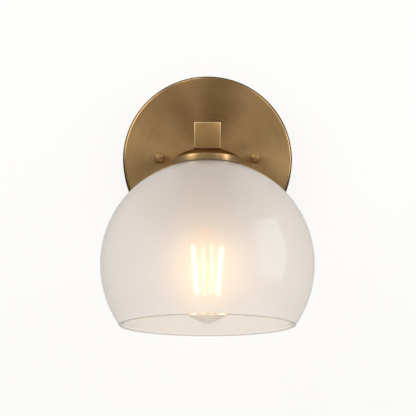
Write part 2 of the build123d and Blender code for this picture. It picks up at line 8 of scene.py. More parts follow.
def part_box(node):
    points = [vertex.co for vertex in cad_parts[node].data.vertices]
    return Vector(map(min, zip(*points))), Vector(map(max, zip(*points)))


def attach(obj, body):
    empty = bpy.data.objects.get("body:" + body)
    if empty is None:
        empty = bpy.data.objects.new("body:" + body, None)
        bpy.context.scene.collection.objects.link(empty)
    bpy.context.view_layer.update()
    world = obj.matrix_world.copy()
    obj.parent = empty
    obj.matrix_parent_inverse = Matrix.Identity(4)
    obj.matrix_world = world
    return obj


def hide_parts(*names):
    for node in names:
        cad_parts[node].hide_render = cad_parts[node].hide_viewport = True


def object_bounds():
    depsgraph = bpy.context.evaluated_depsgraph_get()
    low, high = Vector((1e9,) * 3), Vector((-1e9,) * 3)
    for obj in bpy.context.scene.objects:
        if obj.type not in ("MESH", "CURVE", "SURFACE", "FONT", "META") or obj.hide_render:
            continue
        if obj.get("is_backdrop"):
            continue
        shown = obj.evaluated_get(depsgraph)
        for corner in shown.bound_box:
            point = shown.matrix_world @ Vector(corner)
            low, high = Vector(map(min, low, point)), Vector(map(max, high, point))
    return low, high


# Globe wall lamp in metres. The wall is the plane Y = 0, the lamp stands out along -Y, and +Z is up.
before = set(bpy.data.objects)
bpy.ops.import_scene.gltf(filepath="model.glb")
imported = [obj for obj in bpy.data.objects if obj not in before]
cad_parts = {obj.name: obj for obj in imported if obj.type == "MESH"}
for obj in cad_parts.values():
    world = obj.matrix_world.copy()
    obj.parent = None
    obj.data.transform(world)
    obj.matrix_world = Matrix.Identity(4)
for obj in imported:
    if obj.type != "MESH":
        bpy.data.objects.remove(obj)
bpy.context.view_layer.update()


# Mounting bracket
# A cross stamped from 2 mm steel and zinc plated. It is screwed to the outlet box through its two
# upright slots, and carries the studs for the backplate at the ends of its level arms.
ZINC = ((0.55, 0.55, 0.53, 1), (0.43, 0.44, 0.42, 1))
ZINC_GLOSS = (0.26, 0.46)
ZINC_CRYSTALS = 420.0
ZINC_MARKS = 900.0
MARK_DEPTH = 0.00002
STAMPED_EDGE = 0.00025
SMOOTH_BELOW = radians(40)
SHARP_ABOVE = radians(30)
FLAT_WITHIN = radians(0.3)
TOUCHING = 1e-6


def wire(tree, kind, sockets=None, out=0, **settings):
    """Adds a shader node and returns one output. A socket given an output is linked, else it is set."""
    made = tree.nodes.new("ShaderNode" + kind)
    for key, value in settings.items():
        setattr(made, key, value)
    for key, value in (sockets or {}).items():
        if isinstance(value, bpy.types.NodeSocket):
            tree.links.new(value, made.inputs[key])
        else:
            made.inputs[key].default_value = value
    return made.outputs[out] if made.outputs else made


def new_material(name):
    """An empty node material and its tree."""
    material = bpy.data.materials.new(name)
    material.use_nodes = True
    material.node_tree.nodes.clear()
    return material, material.node_tree


def show(tree, shader):
    """Ends a material's tree in its surface output."""
    wire(tree, "OutputMaterial", {"Surface": shader})


def own_place(tree):
    """The piece's own coordinates, which are the lamp's."""
    return wire(tree, "TexCoord", out="Object")


def speckle(tree, place, scale, detail=3.0):
    return wire(tree, "TexNoise", {"Vector": place, "Scale": scale, "Detail": detail}, out="Fac")


def span(tree, value, low, high, start=0.0, end=1.0):
    """Maps start..end onto low..high."""
    return wire(tree, "MapRange", {"Value": value, "From Min": start, "From Max": end,
                                   "To Min": low, "To Max": high})


def two_tone(tree, factor, first, second):
    """Mixes two colours, by the colour sockets of a mix node."""
    return wire(tree, "Mix", {0: factor, 6: first, 7: second}, out=2, data_type="RGBA")


def relief(tree, height, depth):
    """Bump of the given depth in metres."""
    return wire(tree, "Bump", {"Height": height, "Distance": depth, "Strength": 1.0}, out="Normal")


def marked_metal(tree, tone, marks, gloss, metallic=1.0):
    """A metal whose marks stand in relief and vary its roughness within the two values of its gloss."""
    return wire(tree, "BsdfPrincipled", {
        "Base Color": tone,
        "Metallic": metallic,
        "Roughness": span(tree, marks, *gloss),
        "Normal": relief(tree, marks, MARK_DEPTH),
    })


def zinc_steel():
    """Zinc plating: pale grey with a faint crystal pattern and fine handling marks."""
    material, tree = new_material("zinc_steel")
    place = own_place(tree)
    crystals = wire(tree, "TexVoronoi", {"Vector": place, "Scale": ZINC_CRYSTALS}, out="Distance")
    marks = speckle(tree, place, ZINC_MARKS, detail=4.0)
    show(tree, marked_metal(tree, two_tone(tree, crystals, *ZINC), marks, ZINC_GLOSS))
    return material


def placed(name, bm, material, body, node):
    """Makes a bmesh a piece that rides on a body, takes a material and hides the CAD node it stands for."""
    mesh = bpy.data.meshes.new(name)
    bm.to_mesh(mesh)
    bm.free()
    mesh.shade_smooth()
    mesh.set_sharp_from_angle(angle=SMOOTH_BELOW)
    mesh.materials.append(material)
    piece = bpy.data.objects.new(name, mesh)
    bpy.context.scene.collection.objects.link(piece)
    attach(piece, body)
    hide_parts(node)
    return piece


def round_off(bm, edges, width, segments=2, clamp=False):
    bmesh.ops.bevel(bm, geom=edges, offset=width, offset_type="OFFSET", affect="EDGES",
                    segments=segments, profile=0.5, material=-1, clamp_overlap=clamp)


def ease_edges(bm, width):
    """Rounds off every sharp edge."""
    sharp = [edge for edge in bm.edges if edge.is_manifold and edge.calc_face_angle() > SHARP_ABOVE]
    round_off(bm, sharp, width, clamp=True)


def solid_copy(node):
    """A merged copy of a CAD solid's mesh, with flat faces whole."""
    bm = bmesh.new()
    bm.from_mesh(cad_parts[node].data)
    bmesh.ops.remove_doubles(bm, verts=bm.verts, dist=TOUCHING)
    bmesh.ops.dissolve_limit(bm, angle_limit=FLAT_WITHIN, verts=bm.verts, edges=bm.edges)
    return bm


def eased_copy(name, node, edge, material, body):
    """A piece with a CAD solid's shape and softened edges."""
    bm = solid_copy(node)
    ease_edges(bm, edge)
    placed(name, bm, material, body, node)


zinc = zinc_steel()
eased_copy("bracket", "mounting_bracket", STAMPED_EDGE, zinc, "lamp")


# Ground screw
# A hexagon-head screw of steel with green dyed plating, in the bracket's threaded hole. The bare end
# of the ground lead goes under its head.
GROUND_GREEN = ((0.05, 0.26, 0.10, 1), (0.20, 0.36, 0.20, 1))
SCREW_EDGE = 0.0003


def plain_metal(name, tones, grain, detail, gloss, metallic=1.0):
    """A plated or rolled metal: two near tones in fine marks."""
    material, tree = new_material(name)
    marks = speckle(tree, own_place(tree), grain, detail)
    show(tree, marked_metal(tree, two_tone(tree, marks, *tones), marks, gloss, metallic))
    return material


green_plating = plain_metal("green_plating", GROUND_GREEN, grain=700.0, detail=5.0, gloss=(0.25, 0.5),
                            metallic=0.8)
eased_copy("ground_screw_head", "ground_screw", SCREW_EDGE, green_plating, "lamp")


# Studs and their lock nuts
# Two zinc-plated steel studs with rolled threads. Each is screwed into the bracket from the front
# and locked there by a hexagon nut.
STUD_PITCH = 0.0007
STUD_THREAD_DEPTH = 0.0003
FROM_WALL = Matrix.Rotation(radians(90), 4, "X")
ROUND_STEPS = 48
ARC_STEP = 4
LEAST_ARC_STEPS = 3
SPARE_TURNS = 2
NUT_CHAMFER = 0.05
NUT_FACE_FACING = 0.9


def verts_of(items):
    return [item for item in items if isinstance(item, bmesh.types.BMVert)]


def draw_outline(bm, start, *moves):
    """Draws an outline in the plane of radius and height, round Z.

    A move of two numbers is a line to that point, and one of three an arc about a centre, in degrees.
    """
    tip = bm.verts.new((start[0], 0, start[1]))
    for move in moves:
        if len(move) == 2:
            fresh = bm.verts.new((move[0], 0, move[1]))
            bm.edges.new((tip, fresh))
            tip = fresh
            continue
        radius, height, turn = move
        steps = max(LEAST_ARC_STEPS, round(abs(turn) / ARC_STEP))
        arc = bmesh.ops.spin(bm, geom=[tip], cent=(radius, 0, height), axis=(0, -1, 0),
                             angle=radians(turn), steps=steps)
        tip = verts_of(arc["geom_last"])[0]
    return tip


def turn_outline(bm, steps):
    """Turns what is drawn a full circle round Z, merges the seam and poles, and points faces outwards."""
    bmesh.ops.spin(bm, geom=bm.verts[:] + bm.edges[:], cent=(0, 0, 0), axis=(0, 0, 1),
                   angle=2 * pi, steps=steps, use_merge=True)
    bmesh.ops.remove_doubles(bm, verts=bm.verts, dist=TOUCHING)
    bmesh.ops.recalc_face_normals(bm, faces=bm.faces)


def turned(start, *moves, place, steps=ROUND_STEPS, edge=0, closed=False):
    """A solid of revolution, with its sharp edges rounded, moved to its place."""
    bm = bmesh.new()
    tip = draw_outline(bm, start, *moves)
    if closed:
        bm.verts.ensure_lookup_table()
        bm.edges.new((tip, bm.verts[0]))
    turn_outline(bm, steps)
    if edge:
        ease_edges(bm, edge)
    bmesh.ops.transform(bm, matrix=place, verts=bm.verts)
    return bm


def wind_thread(bm, pitch, steps, start, end):
    """Winds what is drawn one turn round Z and one pitch up, and trims it level at start and end."""
    bmesh.ops.spin(bm, geom=bm.verts[:] + bm.edges[:], cent=(0, 0, 0), axis=(0, 0, 1),
                   dvec=(0, 0, pitch / steps), angle=2 * pi, steps=steps)
    bmesh.ops.remove_doubles(bm, verts=bm.verts, dist=TOUCHING)
    for level, side in ((start, -1), (end, 1)):
        geom = bm.verts[:] + bm.edges[:] + bm.faces[:]
        bmesh.ops.bisect_plane(bm, geom=geom, plane_co=(0, 0, level), plane_no=(0, 0, side),
                               clear_outer=True)


def open_rim(bm, level):
    """The open edges at a level."""
    return [edge for edge in bm.edges
            if edge.is_boundary and all(abs(vert.co.z - level) < TOUCHING for vert in edge.verts)]


def stretch_rim(bm, rim, radius, level):
    """Draws an open rim out to a circle of the given radius and level."""
    for vert in verts_of(bmesh.ops.extrude_edge_only(bm, edges=rim)["geom"]):
        flat = Vector((vert.co.x, vert.co.y, 0)).normalized() * radius
        vert.co = (flat.x, flat.y, level)


def threaded_rod(radius, depth, pitch, start, end, place, bore=0.0, steps=24):
    """A rod or tube round Z with a real helical thread from start to end."""
    bm = bmesh.new()
    turns = round((end - start) / pitch) + SPARE_TURNS
    root = radius - depth
    crests = []
    for turn in range(turns):
        foot = start + (turn - SPARE_TURNS) * pitch
        crests += [(root, foot), (radius, foot + pitch / 2)]
    draw_outline(bm, *crests, (root, start + (turns - SPARE_TURNS) * pitch))
    wind_thread(bm, pitch, steps, start, end)
    for level in (start, end):
        rim = open_rim(bm, level)
        if bore:
            stretch_rim(bm, rim, bore, level)
        else:
            bmesh.ops.contextual_create(bm, geom=rim)
    if bore:
        bmesh.ops.bridge_loops(bm, edges=open_rim(bm, start) + open_rim(bm, end))
    bmesh.ops.recalc_face_normals(bm, faces=bm.faces)
    bmesh.ops.transform(bm, matrix=place, verts=bm.verts)
    return bm


def hex_nut(flats, bore, start, end, place):
    """A hexagon nut whose corners are turned off at both faces."""
    bm = bmesh.new()
    corner = flats / 2 / cos(pi / 6)
    height = end - start
    bmesh.ops.create_cone(bm, cap_ends=True, segments=6, radius1=corner, radius2=corner, depth=height)
    bmesh.ops.rotate(bm, verts=bm.verts, matrix=Matrix.Rotation(pi / 6, 3, "Z"))
    caps = [face for face in bm.faces if abs(face.normal.z) > NUT_FACE_FACING]
    round_off(bm, [edge for face in caps for edge in face.edges], flats * NUT_CHAMFER)
    caps = [face for face in bm.faces if abs(face.normal.z) > NUT_FACE_FACING and len(face.edges) >= 6]
    rims = []
    for face in caps:
        level = face.calc_center_median().z
        made = bmesh.ops.create_circle(bm, segments=ROUND_STEPS, radius=bore)["verts"]
        bmesh.ops.translate(bm, verts=made, vec=(0, 0, level))
        ring = list({edge for vert in made for edge in vert.link_edges})
        outer = list(face.edges)
        bm.faces.remove(face)
        bmesh.ops.bridge_loops(bm, edges=ring + outer)
        rims += ring
    bmesh.ops.bridge_loops(bm, edges=rims)
    bmesh.ops.recalc_face_normals(bm, faces=bm.faces)
    bmesh.ops.translate(bm, verts=bm.verts, vec=(0, 0, start + height / 2))
    bmesh.ops.transform(bm, matrix=place, verts=bm.verts)
    return bm


def joined(meshes):
    """One bmesh from several."""
    whole = meshes[0]
    for other in meshes[1:]:
        spare = bpy.data.meshes.new("spare")
        other.to_mesh(spare)
        whole.from_mesh(spare)
        other.free()
        bpy.data.meshes.remove(spare)
    return whole


nut_low, nut_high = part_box("stud_lock_nuts")
lock_nuts = []
for side in ("left", "right"):
    low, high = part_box(f"bracket_stud_{side}")
    stud_place = Matrix.Translation(((low.x + high.x) / 2, 0, 0)) @ FROM_WALL
    stud_radius = (high.x - low.x) / 2
    rod = threaded_rod(stud_radius, STUD_THREAD_DEPTH, STUD_PITCH, -high.y, -low.y, stud_place)
    placed(f"stud_{side}", rod, zinc, "lamp", f"bracket_stud_{side}")
    flats = nut_high.z - nut_low.z
    lock_nuts.append(hex_nut(flats, stud_radius, -nut_high.y, -nut_low.y, stud_place))
placed("stud_nuts", joined(lock_nuts), zinc, "lamp", "stud_lock_nuts")


# Backplate
# A pan spun from brass sheet, brushed on the lathe so that fine rings run round it, then aged brown.
# Its rounded edge is smoother and painted darker as shade, with a painted dark line of shade round it.
# Two ball nuts hold it over the bracket.
plate_low, plate_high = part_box("backplate")
PLATE_RADIUS = plate_high.x
PLATE_DEPTH = -plate_low.y
PLATE_SHEET = 0.0012
PLATE_ROUND = 0.003
PLATE_HOLE = 0.00515
PLATE_EASE = 0.0002
PLATE_STEPS = 192
PLATE_PATINA = (0.05, 0, 0.02)
FLAT_FACING = 0.98
PAINTED_SHADE_RIM_FACING = (-0.8, -0.05)
BRASS = ((0.30, 0.185, 0.078, 1), (0.44, 0.285, 0.128, 1))
# Painted shade: the edge's tones are darker than the face's, and the rim's outer line is near black.
EDGE_PAINTED_SHADE = ((0.225, 0.137, 0.058, 1), (0.325, 0.206, 0.09, 1))
RIM_PAINTED_SHADE = ((0.06, 0.036, 0.016, 1), (0.10, 0.062, 0.028, 1))
BRASS_GRAZING = (0.42, 0.30, 0.16, 1)
LACQUER_ROUGHNESS = 0.22
LINE_SCALE = 820.0
LINE_DEPTH = 0.00003
LINE_ROUGHNESS = 0.08
LINE_NOISE = (0.3, 0.7)
LINE_TONE = 0.24
RING_DRAW = 0.0016
STRAIGHT_DRAW = (1, 0.03, 1)
LIFT_ALONG_Y = 0.01
LIFT_ALONG_Z = 0.02
PATINA_SCALE = 22.0
PATINA_NOISE = (0.35, 0.65)
PATINA_TONE = (0.1, 0.9)


def round_lay(tree, first, second, along):
    """Coordinates that hardly change round an axis, so that noise on them is drawn out into rings."""
    flat = wire(tree, "CombineXYZ", {"X": first, "Y": second})
    radius = wire(tree, "VectorMath", {0: flat}, out="Value", operation="LENGTH")
    swing = wire(tree, "Math", {0: second, 1: first}, operation="ARCTAN2")
    slow = wire(tree, "Math", {0: swing, 1: RING_DRAW}, operation="MULTIPLY")
    return wire(tree, "CombineXYZ", {"X": radius, "Y": along, "Z": slow})


def aged_brass(name, lay, centre=(0, 0, 0), stretch=0.93, dull=0.46, tones=BRASS, lacquer=0.0,
               patch=(0, 0, 0)):
    """Aged brass brushed along a lay: round Y, round Z, or straight along Y.

    The brush marks are noise drawn out along the lay, and the highlight is drawn out across it by the
    stretch. A lift along the axis keeps the direction across the lay from vanishing at the middle.
    Clouds of patina, moved by the patch, go from tone to tone. Lacquer is a thin clear coat.
    """
    material, tree = new_material(name)
    place = own_place(tree)
    here = wire(tree, "VectorMath", {0: place, 1: centre}, operation="SUBTRACT")
    x, y, z = wire(tree, "SeparateXYZ", {0: here}).node.outputs
    if lay == "round Y":
        across = wire(tree, "CombineXYZ", {"X": x, "Y": LIFT_ALONG_Y, "Z": z})
        drawn_out = round_lay(tree, x, z, y)
    elif lay == "round Z":
        across = wire(tree, "CombineXYZ", {"X": x, "Y": y, "Z": LIFT_ALONG_Z})
        drawn_out = round_lay(tree, x, y, z)
    else:
        across = wire(tree, "CombineXYZ", {"X": 1.0, "Y": 0.0, "Z": 1.0})
        drawn_out = wire(tree, "VectorMath", {0: here, 1: STRAIGHT_DRAW}, operation="MULTIPLY")
    lines = speckle(tree, drawn_out, LINE_SCALE, detail=6.0)
    patina = speckle(tree, wire(tree, "VectorMath", {0: place, 1: patch}), PATINA_SCALE)
    tone = span(tree, patina, *PATINA_TONE, *PATINA_NOISE)
    streak = span(tree, lines, -LINE_TONE, LINE_TONE, *LINE_NOISE)
    mixed = wire(tree, "Math", {0: tone, 1: streak}, operation="ADD", use_clamp=True)
    turned_across = wire(tree, "VectorTransform", {0: across}, vector_type="VECTOR",
                         convert_from="OBJECT", convert_to="WORLD")
    shader = wire(tree, "BsdfPrincipled", {
        "Base Color": two_tone(tree, mixed, *tones),
        "Metallic": 1.0,
        "Specular Tint": BRASS_GRAZING,
        "Roughness": span(tree, lines, dull - LINE_ROUGHNESS, dull + LINE_ROUGHNESS),
        "Anisotropic": stretch,
        "Coat Weight": lacquer,
        "Coat Roughness": LACQUER_ROUGHNESS,
        "Tangent": turned_across,
        "Normal": relief(tree, lines, LINE_DEPTH),
    })
    show(tree, shader)
    return material


spun_brass = aged_brass("spun_brass", "round Y", patch=PLATE_PATINA)
# The edge and rim finishes are darker tones painted as shade.
smooth_edge_painted_shade = aged_brass("smooth_edge_painted_shade", "round Y", stretch=0.2, dull=0.26, tones=EDGE_PAINTED_SHADE)
rim_painted_shade_brass = aged_brass("rim_painted_shade_brass", "round Y", stretch=0.2, dull=0.5, tones=RIM_PAINTED_SHADE)
pan = turned(
    (PLATE_RADIUS - PLATE_SHEET, PLATE_DEPTH - PLATE_ROUND),
    (PLATE_RADIUS - PLATE_SHEET, 0),
    (PLATE_RADIUS, 0),
    (PLATE_RADIUS, PLATE_DEPTH - PLATE_ROUND),
    (PLATE_RADIUS - PLATE_ROUND, PLATE_DEPTH - PLATE_ROUND, 90),
    (PLATE_HOLE, PLATE_DEPTH),
    (PLATE_HOLE, PLATE_DEPTH - PLATE_SHEET),
    (PLATE_RADIUS - PLATE_ROUND, PLATE_DEPTH - PLATE_SHEET),
    (PLATE_RADIUS - PLATE_ROUND, PLATE_DEPTH - PLATE_ROUND, -90),
    place=FROM_WALL, steps=PLATE_STEPS, edge=PLATE_EASE,
)
plate = placed("backplate_pan", pan, spun_brass, "lamp", "backplate")
plate.data.materials.append(smooth_edge_painted_shade)
plate.data.materials.append(rim_painted_shade_brass)
# The outer faces of the rounding take the painted shade line, the rest of the edge its darker tone.
painted_rim_front, painted_rim_side = PAINTED_SHADE_RIM_FACING
for face in plate.data.polygons:
    if painted_rim_front < face.normal.y < painted_rim_side and face.center.y < -PLATE_DEPTH / 2:
        face.material_index = 2
    elif face.normal.y > -FLAT_FACING:
        face.material_index = 1


# Ball nuts
# Turned brass balls on a short collar, with a blind threaded hole. They screw onto the studs by hand
# and clamp the backplate.
KNOB_EDGE = 0.00015
COLLAR_RADIUS = 0.0032
COLLAR_HEIGHT = 0.001
BALL_RADIUS = 0.0044
KNOB_BRASS = ((0.27, 0.16, 0.062, 1), (0.38, 0.236, 0.1, 1))
ball_rise = sqrt(BALL_RADIUS**2 - COLLAR_RADIUS**2)
ball_turn = 90 + degrees(asin(ball_rise / BALL_RADIUS))

for side in ("left", "right"):
    low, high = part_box(f"knob_{side}")
    knob_x = (low.x + high.x) / 2
    seat = -high.y
    ball = turned(
        (0, seat),
        (COLLAR_RADIUS, seat),
        (COLLAR_RADIUS, seat + COLLAR_HEIGHT),
        (0, seat + COLLAR_HEIGHT + ball_rise, ball_turn),
        place=Matrix.Translation((knob_x, 0, 0)) @ FROM_WALL, edge=KNOB_EDGE,
    )
    knob_brass = aged_brass(f"knob_brass_{side}", "round Y", (knob_x, 0, 0), stretch=0.3, dull=0.6,
                            tones=KNOB_BRASS)
    placed(f"ball_nut_{side}", ball, knob_brass, f"knob_{side}", f"knob_{side}")


# Arm
# A length of square brass tube with small chamfers and a brazed front end, brushed lengthwise, with
# its chamfers painted brighter as a painted highlight. It stands on the backplate's middle and carries
# the cap under its front end.
arm_low, arm_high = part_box("arm")
ARM_WALL = 0.0016
ARM_CHAMFER = 0.0009
ARM_BRASS = ((0.335, 0.2, 0.075, 1), (0.44, 0.266, 0.105, 1))
# Painted highlight: brighter brass tones for the chamfer faces.
CHAMFER_PAINTED_HIGHLIGHT = ((0.54, 0.38, 0.19, 1), (0.68, 0.50, 0.28, 1))


def square_tube(low, high, wall, chamfer):
    """A square tube along Y, closed at the front and open at the back."""
    bm = bmesh.new()
    bmesh.ops.create_cube(bm, size=1)
    bmesh.ops.scale(bm, verts=bm.verts, vec=high - low)
    bmesh.ops.translate(bm, verts=bm.verts, vec=(low + high) / 2)
    back_edges = {edge for edge in bm.edges if all(vert.co.y > high.y - TOUCHING for vert in edge.verts)}
    round_off(bm, [edge for edge in bm.edges if edge not in back_edges], chamfer)
    back = max(bm.faces, key=lambda face: face.calc_center_median().y)
    bmesh.ops.inset_region(bm, faces=[back], thickness=wall, use_even_offset=True)
    inside = bmesh.ops.extrude_face_region(bm, geom=[back])["geom"]
    bmesh.ops.translate(bm, verts=verts_of(inside), vec=(0, low.y - high.y + wall, 0))
    bmesh.ops.delete(bm, geom=[back], context="FACES_ONLY")
    return bm


arm_brass = aged_brass("arm_brass", "straight", stretch=0.3, dull=0.42, tones=ARM_BRASS)
chamfer_painted_highlight = aged_brass("painted_chamfer_highlight", "straight", stretch=0.2, dull=0.36, tones=CHAMFER_PAINTED_HIGHLIGHT)
arm_tube = square_tube(arm_low, arm_high, ARM_WALL, ARM_CHAMFER)
square_arm = placed("square_arm", arm_tube, arm_brass, "lamp", "arm")
square_arm.data.materials.append(chamfer_painted_highlight)
# Every chamfer face takes the painted highlight.
for face in square_arm.data.polygons:
    if max(abs(part) for part in face.normal) < FLAT_FACING:
        face.material_index = 1


# Arm fixings
# A steel plug is pressed into the arm's back end. A threaded nipple runs from it through the
# backplate, where a toothed washer, the ground lug and a nut draw the arm tight.
NIPPLE_PITCH = 0.00094
NIPPLE_DEPTH = 0.00045
NIPPLE_BORE = 0.0035
NIPPLE_STEPS = 32
THIN_EDGE = 0.0001
BRIGHT_BRASS = ((0.56, 0.40, 0.16, 1), (0.46, 0.31, 0.12, 1))
low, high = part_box("arm_nipple")
nipple_radius = (high.x - low.x) / 2


def nipple(start, end, place):
    """A length of the threaded tube that both nipples are cut from."""
    return threaded_rod(nipple_radius, NIPPLE_DEPTH, NIPPLE_PITCH, start, end, place, NIPPLE_BORE,
                        NIPPLE_STEPS)


bright_brass = plain_metal("plain_brass", BRIGHT_BRASS, grain=800.0, detail=4.0, gloss=(0.2, 0.38))
arm_nipple = nipple(-high.y, -low.y, FROM_WALL)
placed("arm_nipple_thread", arm_nipple, zinc, "lamp", "arm_nipple")
low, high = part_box("arm_lock_nut")
arm_nut = hex_nut(high.z - low.z, nipple_radius, -high.y, -low.y, FROM_WALL)
placed("arm_nut", arm_nut, zinc, "lamp", "arm_lock_nut")
eased_copy("arm_plug_block", "arm_plug", STAMPED_EDGE, zinc, "lamp")
eased_copy("toothed_washer", "arm_lock_washer", THIN_EDGE, zinc, "lamp")
eased_copy("ring_lug", "ground_lug", THIN_EDGE, bright_brass, "lamp")


# Cap, its nipple and nut
# The cap is spun from brass sheet: a shallow dome over a straight band. A second nipple hangs from a
# steel bush inside the arm, and a nut on it holds the cap against the arm's underside.
cap_low, cap_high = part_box("shade_cap")
AXIS = (0, (cap_low.y + cap_high.y) / 2, 0)
ON_AXIS = Matrix.Translation(AXIS)
CAP_RADIUS = (cap_high.x - cap_low.x) / 2
CAP_SHEET = 0.001
CAP_CROWN = 0.009
CAP_BAND = 0.0054
CAP_HOLE = 0.00515
CAP_EASE = 0.00025
CAP_STEPS = 128
# Painted shade: the dome's upward faces take darker brass tones.
DOME_SHADE_FACING = 0.2
DOME_PAINTED_SHADE = ((0.17, 0.095, 0.038, 1), (0.26, 0.15, 0.064, 1))


def dome_arc(radius, crown, rise):
    """Radius and angle of the arc that leaves a flat crown level and falls by rise at the band."""
    run = radius - crown
    arc = (run**2 + rise**2) / (2 * rise)
    return arc, degrees(asin(run / arc))


cap_rise = cap_high.z - cap_low.z - CAP_BAND
outer_arc, outer_turn = dome_arc(CAP_RADIUS, CAP_CROWN, cap_rise)
inner_arc, inner_turn = dome_arc(CAP_RADIUS - CAP_SHEET, CAP_CROWN, cap_rise)
cap = turned(
    (CAP_HOLE, cap_high.z),
    (CAP_CROWN, cap_high.z),
    (CAP_CROWN, cap_high.z - outer_arc, -outer_turn),
    (CAP_RADIUS, cap_low.z),
    (CAP_RADIUS - CAP_SHEET, cap_low.z),
    (CAP_RADIUS - CAP_SHEET, cap_high.z - CAP_SHEET - cap_rise),
    (CAP_CROWN, cap_high.z - CAP_SHEET - inner_arc, inner_turn),
    (CAP_HOLE, cap_high.z - CAP_SHEET),
    place=ON_AXIS, steps=CAP_STEPS, edge=CAP_EASE, closed=True,
)
cap_brass = aged_brass("cap_brass", "round Z", AXIS, stretch=0.62, dull=0.42, lacquer=0.35)
# The dome's upward faces are painted dark: painted shade.
dome_painted_shade = aged_brass("dome_painted_shade", "round Z", AXIS, stretch=0.2, dull=0.36, tones=DOME_PAINTED_SHADE)
domed_cap = placed("domed_cap", cap, cap_brass, "lamp", "shade_cap")
domed_cap.data.materials.append(dome_painted_shade)
for face in domed_cap.data.polygons:
    if face.normal.z > DOME_SHADE_FACING:
        face.material_index = 1
low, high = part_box("socket_nipple")
socket_nipple = nipple(low.z, high.z, ON_AXIS)
placed("socket_nipple_thread", socket_nipple, zinc, "lamp", "socket_nipple")
low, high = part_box("cap_lock_nut")
cap_nut = hex_nut(high.y - low.y, nipple_radius, low.z, high.z, ON_AXIS)
placed("cap_nut", cap_nut, zinc, "lamp", "cap_lock_nut")
eased_copy("threaded_bush", "arm_bush", STAMPED_EDGE, zinc, "lamp")


# Seat ring
# Moulded silicone between the cap and the glass. Only its thin lip shows, as a dark line under the
# cap's band.
SILICONE = ((0.085, 0.068, 0.05, 1), (0.05, 0.04, 0.03, 1))
MOULDED_CLOUDS = 160.0


def moulded(name, tones, gloss, grain=1500.0, grain_depth=MARK_DEPTH):
    """A moulded plastic or rubber: two near tones, uneven gloss and a fine moulded grain."""
    material, tree = new_material(name)
    place = own_place(tree)
    grain_noise = speckle(tree, place, grain, detail=2.0)
    shader = wire(tree, "BsdfPrincipled", {
        "Base Color": two_tone(tree, speckle(tree, place, MOULDED_CLOUDS), *tones),
        "Roughness": span(tree, grain_noise, *gloss),
        "Normal": relief(tree, grain_noise, grain_depth),
    })
    show(tree, shader)
    return material


silicone = moulded("silicone", SILICONE, gloss=(0.5, 0.7))
eased_copy("seat_ring", "shade_gasket", THIN_EDGE, silicone, "lamp")


# Lamp holder
# A threaded brass sleeve over a moulded phenolic body. The body holds the screw shell, the sprung
# centre contact and the two rivets that carry the leads.
SLEEVE_PITCH = 0.0015
SLEEVE_THREAD_DEPTH = 0.0005
SLEEVE_WALL = 0.0012
SLEEVE_STEPS = 64
PHENOLIC = ((0.045, 0.032, 0.026, 1), (0.028, 0.02, 0.017, 1))
BODY_EDGE = 0.0003
SHELL_EDGE = 0.00008
RIVET_EDGE = 0.0002
low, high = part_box("socket_sleeve")
sleeve_radius = (high.x - low.x) / 2
sleeve = threaded_rod(sleeve_radius, SLEEVE_THREAD_DEPTH, SLEEVE_PITCH, low.z, high.z, ON_AXIS,
                      sleeve_radius - SLEEVE_WALL, SLEEVE_STEPS)
sleeve_brass = aged_brass("sleeve_brass", "round Z", AXIS, stretch=0.4)
placed("holder_sleeve", sleeve, sleeve_brass, "lamp", "socket_sleeve")
phenolic = moulded("phenolic", PHENOLIC, gloss=(0.3, 0.5))
eased_copy("holder_body", "socket_body", BODY_EDGE, phenolic, "lamp")
eased_copy("screw_shell", "socket_shell", SHELL_EDGE, bright_brass, "lamp")
eased_copy("sprung_contact", "centre_contact", THIN_EDGE, bright_brass, "lamp")
eased_copy("contact_rivets", "terminal_rivets", RIVET_EDGE, bright_brass, "lamp")


# Wiring
# Stranded leads in coloured insulation. The black and white ones run from the rivets up through the
# nipple, along the arm and into the backplate, to ribbed twist-on connectors. The green one runs from
# the lug to the bracket.
BLACK_WIRE = ((0.022, 0.022, 0.022, 1), (0.035, 0.035, 0.035, 1))
WHITE_WIRE = ((0.78, 0.77, 0.73, 1), (0.68, 0.67, 0.63, 1))
GREEN_WIRE = ((0.045, 0.25, 0.08, 1), (0.03, 0.19, 0.06, 1))
INSULATION_GRAIN_DEPTH = 0.00003
CONNECTOR = ((0.62, 0.20, 0.03, 1), (0.5, 0.15, 0.02, 1))
CONNECTOR_RIBS = 16
CONNECTOR_RIB_DEPTH = 0.0004
CONNECTOR_RADII = (0.0055, 0.0036)
CONNECTOR_LENGTH = 0.019
CONNECTOR_START = 0.015
STEPS_PER_RIB = 4
LEAD_CORNER = Vector((0.0017, -0.0095, 0))
leads = (("hot_lead", "black_insulation", BLACK_WIRE), ("neutral_lead", "white_insulation", WHITE_WIRE),
         ("ground_lead", "green_insulation", GREEN_WIRE))
for node, slot, tones in leads:
    insulation = moulded(slot, tones, gloss=(0.35, 0.5), grain=600.0, grain_depth=INSULATION_GRAIN_DEPTH)
    eased_copy(f"{node}_wire", node, THIN_EDGE, insulation, "lamp")


